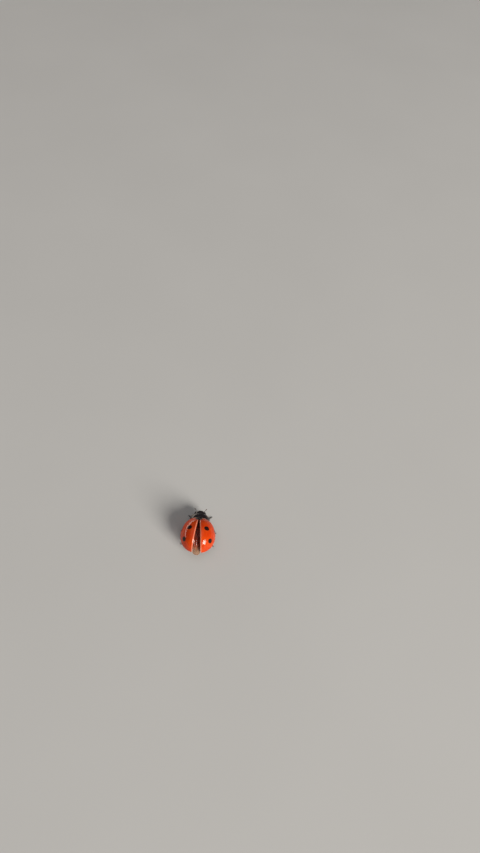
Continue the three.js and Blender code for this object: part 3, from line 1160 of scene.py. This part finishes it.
# %% [markdown]
# ## Lip and jaws
# The upper lip is a short rounded plate, with the tips of the two jaws below it. Pressed eggs make the
# plates, and curved tubes the jaws. A tube's width often goes evenly from one value to another between
# round ends, so a helper makes such profiles.

# %% Lip and jaws
MOUTH_LOW, MOUTH_HIGH = box_mm("mouth")
LIP_AT = Vector((0, MOUTH_LOW.y + 0.17, MOUTH_HIGH.z - 0.2))
LIP_RADII = (0.34, 0.15, 0.11)


def widening(start, end, sharpness=5):
    """A limb's profile that goes evenly from one half width to another, with round ends."""
    return lambda t: mix(start, end, t) * rounded(t, sharpness)


bm = bmesh.new()
for vert in egg(bm, LIP_AT, LIP_RADII, around=40, along=20):
    vert.co.y += 0.1 * (abs(vert.co.x) / LIP_RADII[0]) ** 3
    vert.co.z -= 0.03 * smooth_step((LIP_AT.y - vert.co.y) / 0.12)
egg(bm, LIP_AT + Vector((0, 0.16, -0.22)), (0.3, 0.24, 0.1), around=28, along=16)
for mirror in SIDES.values():
    jaw_root = LIP_AT + Vector((mirror * 0.3, 0.1, -0.12))
    jaw_tip = LIP_AT + Vector((mirror * 0.01, -0.12, -0.17))
    outwards = Vector((mirror * 0.08, -0.02, 0))
    limb(bm, jaw_root, jaw_tip, widening(0.09, 0.0225), bend=outwards)
    small_root = LIP_AT + Vector((mirror * 0.1, 0.0, -0.27))
    small_tip = LIP_AT + Vector((mirror * 0.13, -0.12, -0.33))
    limb(bm, small_root, small_tip, widening(0.035, 0.035))
piece("lip_and_jaws", bm, [plain_shell], ["mouth"])

# %% [markdown]
# ## The palps
# The palps beside the jaws end in a broad hatchet-shaped joint, the mark of the ladybird family. They
# are three limbs in a row, and the last one is flat. Palps and antennae share a brown finish.

# %% The palps


def feeler_finish():
    finish = Finish("feeler_skin", Roughness=0.36)
    finish.colour(finish.mix(finish.noise(0.12, 3), (0.03, 0.012, 0.006), (0.1, 0.038, 0.016)))
    return finish.relief((finish.noise(0.03, 3), 0.002))


feeler_skin = feeler_finish()
low, high = box_mm("palp_left")
root = Vector((0.24, high.y - 0.02, high.z - 0.06))
bend_at = Vector((0.48, (low.y + high.y) / 2, (low.z + high.z) / 2 + 0.13))
tip = Vector((0.46, low.y + 0.06, low.z + 0.08))
hatchet = {"flat": 0.45, "across": Vector((0.2, 1, 0))}
for side, mirror in SIDES.items():
    bm = bmesh.new()
    limb(bm, root, bend_at, widening(0.04, 0.062, 8))
    limb(bm, bend_at, bend_at.lerp(tip, 0.38), widening(0.062, 0.062))
    limb(bm, bend_at.lerp(tip, 0.3), tip, widening(0.05, 0.115, 10), **hatchet)
    piece(f"maxillary_palp_{side}", on_side(mirror, bm), [feeler_skin], [f"palp_{side}"])

# %% [markdown]
# ## The antennae
# A ladybird's antenna has eleven beads: a stout root, a stem of small ones, and a club of three. A list
# of lengths and half widths describes them from root to tip, and a loop strings the beads along a
# curve from root to tip, which the elbow pulls outwards.

# %% The antennae
BEADS = [  # relative length, and half width in millimetres
    (1.5, 0.062),
    (1.0, 0.044),
    (1.4, 0.028),
    (1.0, 0.026),
    (1.0, 0.026),
    (0.9, 0.028),
    (0.8, 0.03),
    (0.8, 0.036),
    (1.0, 0.06),
    (1.0, 0.074),
    (1.2, 0.07),
]
OVERLAP = 1.15  # each bead runs on a little into the next one


def antenna_point(t):
    low, high = box_mm("antenna_left")
    root = Vector((0.5, high.y - 0.05, 1.42))
    elbow = Vector((0.78, -3.6, 1.47))
    tip = Vector((high.x - 0.12, low.y + 0.03, 1.34))
    return root.lerp(elbow, t).lerp(elbow.lerp(tip, t), t)


whole_length = sum(length for length, _ in BEADS)
for side, mirror in SIDES.items():
    bm = bmesh.new()
    done = 0.0
    for length, half_width in BEADS:
        start = antenna_point(done / whole_length)
        end = antenna_point(min(1.0, (done + OVERLAP * length) / whole_length))
        limb(bm, start, end, widening(0.78 * half_width, 1.05 * half_width, 6), sides=14, steps=12)
        done += length
    piece(f"feeler_{side}", on_side(mirror, bm), [feeler_skin], [f"antenna_{side}"])

# %% [markdown]
# ## Where the legs go
# Each leg has a stout thigh, a straight shin that widens to its end, and a foot. Four points describe
# it: hip, knee, ankle and toe, given here for the left side.

# %% Where the legs go
LEG_SHIFT = Vector((0, BASE_Y + 1.85, 0))  # the frame was moved by this much, to centre its length
LEG_POINTS = {
    "front": [(0.5, -2.15, 0.86), (1.52, -2.68, 0.95), (1.56, -3.06, 0.34), (1.98, -3.44, 0.1)],
    "middle": [(0.62, -0.75, 0.82), (1.94, -0.98, 0.96), (2.3, -0.62, 0.34), (2.9, -0.5, 0.1)],
    "hind": [(0.55, 0.5, 0.82), (1.8, 1.05, 0.98), (2.08, 1.45, 0.34), (2.64, 1.82, 0.1)],
}
LEGS = {
    name: [Vector(point) + LEG_SHIFT for point in points] for name, points in LEG_POINTS.items()
}


def thigh_width(t):
    return (mix(0.12, 0.09, t) + 0.09 * math.sin(math.pi * t ** 0.85)) * rounded(t, 8)


def shin_width(t):
    return mix(0.065, 0.1, t ** 1.3) * rounded(t, 10)


for name, (hip, knee, _, _) in LEGS.items():
    print(name, "thigh:", round((knee - hip).length, 2), "mm from hip to knee")

# %% [markdown]
# ## Bristles
# Short stiff hairs stand all round the legs. Each is a four-sided cone that leans towards the foot.
# Turning by the golden angle from one to the next spreads them without visible rows.

# %% Bristles
BRISTLE = {"length": 0.09, "radius": 0.007}
GOLDEN_TURN = math.radians(137.5)


def bristles(bm, start, end, width, count):
    """Short stiff hairs that lean towards the end of a leg joint."""
    line = end - start
    for i in range(count):
        t = mix(0.12, 0.97, (i + 0.5) / count)
        frame_here = station(start + line * t, line, 1, 1)
        around = i * GOLDEN_TURN
        outwards = frame_here.to_3x3() @ Vector((math.cos(around), math.sin(around), 0))
        lean = (outwards + line.normalized() * 1.1).normalized()
        middle = frame_here.translation + outwards * width(t) * 0.8 + lean * BRISTLE["length"] / 2
        bmesh.ops.create_cone(
            bm,
            cap_ends=True,
            segments=4,
            radius1=BRISTLE["radius"],
            radius2=BRISTLE["radius"] * 0.2,
            depth=BRISTLE["length"],
            matrix=Matrix.Translation(middle) @ lean.to_track_quat("Z", "Y").to_matrix().to_4x4(),
        )


print("a bristle is", BRISTLE["length"], "mm long")

# %% [markdown]
# ## A foot
# A ladybird's foot has a narrow first joint, a second one with two lobes, and a thin last one with two
# hooked claws. It rests on the floor, so no vertex may lie lower than the sole.

# %% A foot
ANKLE_Z = 0.19
FIRST_END = {"share": 0.36, "z": 0.1}  # where the first two joints end, along the foot
SECOND_END = {"share": 0.62, "z": 0.075}
TIP_Z = 0.07
SOLE_Z = 0.005  # nothing of a foot reaches lower


def foot(bm, ankle, toe):
    heel = Vector((ankle.x, ankle.y, ANKLE_Z))
    tip = Vector((toe.x, toe.y, TIP_Z))
    ahead = (tip - heel).normalized()
    side = ahead.cross(UP).normalized()
    first = heel.lerp(tip, FIRST_END["share"])
    second = heel.lerp(tip, SECOND_END["share"])
    first.z, second.z = FIRST_END["z"], SECOND_END["z"]
    limb(bm, heel - ahead * 0.03, first, widening(0.05, 0.085, 6), flat=0.75)
    for lobe in (-1, 1):
        off = side * 0.05 * lobe
        limb(bm, first - ahead * 0.05, second + off, widening(0.045, 0.07, 6), flat=0.7)
    limb(bm, second - ahead * 0.12, tip - ahead * 0.08, widening(0.034, 0.05, 8))
    for claw in (-1, 1):
        root = tip - ahead * 0.11 + side * 0.025 * claw
        claw_tip = tip + side * 0.085 * claw - UP * 0.055
        bend = UP * 0.035 + side * 0.02 * claw
        limb(bm, root, claw_tip, lambda t: mix(0.032, THINNEST, t), sides=8, bend=bend)
    bristles(bm, heel, first, lambda t: 0.07, 8)
    bristles(bm, first, second, lambda t: 0.08, 8)
    for vert in bm.verts:
        vert.co.z = max(vert.co.z, SOLE_Z)


print("the soles lie at z =", SOLE_Z)

# %% [markdown]
# ## The six legs
# The two sides mirror each other, so a loop over the three pairs makes each leg from the left side's
# four points. Thigh, shin and foot stay separate pieces, because the real joints are separate tubes.

# %% The six legs
for name, (hip, knee, ankle, toe) in LEGS.items():
    for side, mirror in SIDES.items():
        thigh, shin, sole = bmesh.new(), bmesh.new(), bmesh.new()
        limb(thigh, hip - (knee - hip) * 0.06, knee, thigh_width, sides=20, steps=20, flat=0.72)
        above_floor = Vector((ankle.x, ankle.y, ANKLE_Z - 0.03))
        limb(shin, knee.lerp(hip, 0.04), above_floor, shin_width, sides=16, steps=18, flat=0.85)
        bristles(thigh, hip, knee, lambda t: thigh_width(t) * 0.72, 14)
        bristles(shin, knee, above_floor, lambda t: shin_width(t) * 0.85, 34)
        foot(sole, ankle, toe)
        made = (("femur", "thigh", thigh), ("tibia", "shin", shin), ("tarsus", "foot", sole))
        for part, label, bm in made:
            node = f"{name}_{part}_{side}"
            piece(f"{label}_{name}_{side}", on_side(mirror, bm), [leg_skin], [node])

# %% [markdown]
# ## Chest and hips
# Below the pronotum the chest closes the body between head and thorax, and each leg turns in a
# rounded hip. They are eggs sunk into each other, as the real plates are.

# %% Chest and hips
CHEST = {"half_width": 1.46, "half_length": 0.74, "half_height": 0.5}
CHEST_AT = Vector((0, PRONOTUM_BACK - 0.42, 1.22))
HIP_RADII = (0.34, 0.2, 0.17)

bm = bmesh.new()
for vert in egg(bm, around=48, along=32):
    x, y, z = blunted(vert.co, 3.5)
    x *= CHEST["half_width"]
    groove = 0.05 * bump_at(x, 0, 0.08) * (z < 0)
    vert.co = CHEST_AT + Vector((x, CHEST["half_length"] * y, CHEST["half_height"] * z + groove))
piece("chest", bm, [body_skin])

bm = bmesh.new()
for hip, _, _, _ in LEGS.values():
    for mirror in SIDES.values():
        at = Vector((mirror * (hip.x - 0.08), hip.y, hip.z + 0.02))
        egg(bm, at, HIP_RADII, around=24, along=14)
piece("hips", bm, [leg_skin])

# %% [markdown]
# ## Finishing
# The floor gets a pale matt finish.

# %% Finishing
PALE_GREY = (0.6, 0.595, 0.585), (0.64, 0.635, 0.625)

floor_finish = Finish("pale_floor", Roughness=0.75)
floor_finish.colour(floor_finish.mix(floor_finish.noise(30, 2), *PALE_GREY))
floor.data.materials.append(floor_finish.material)
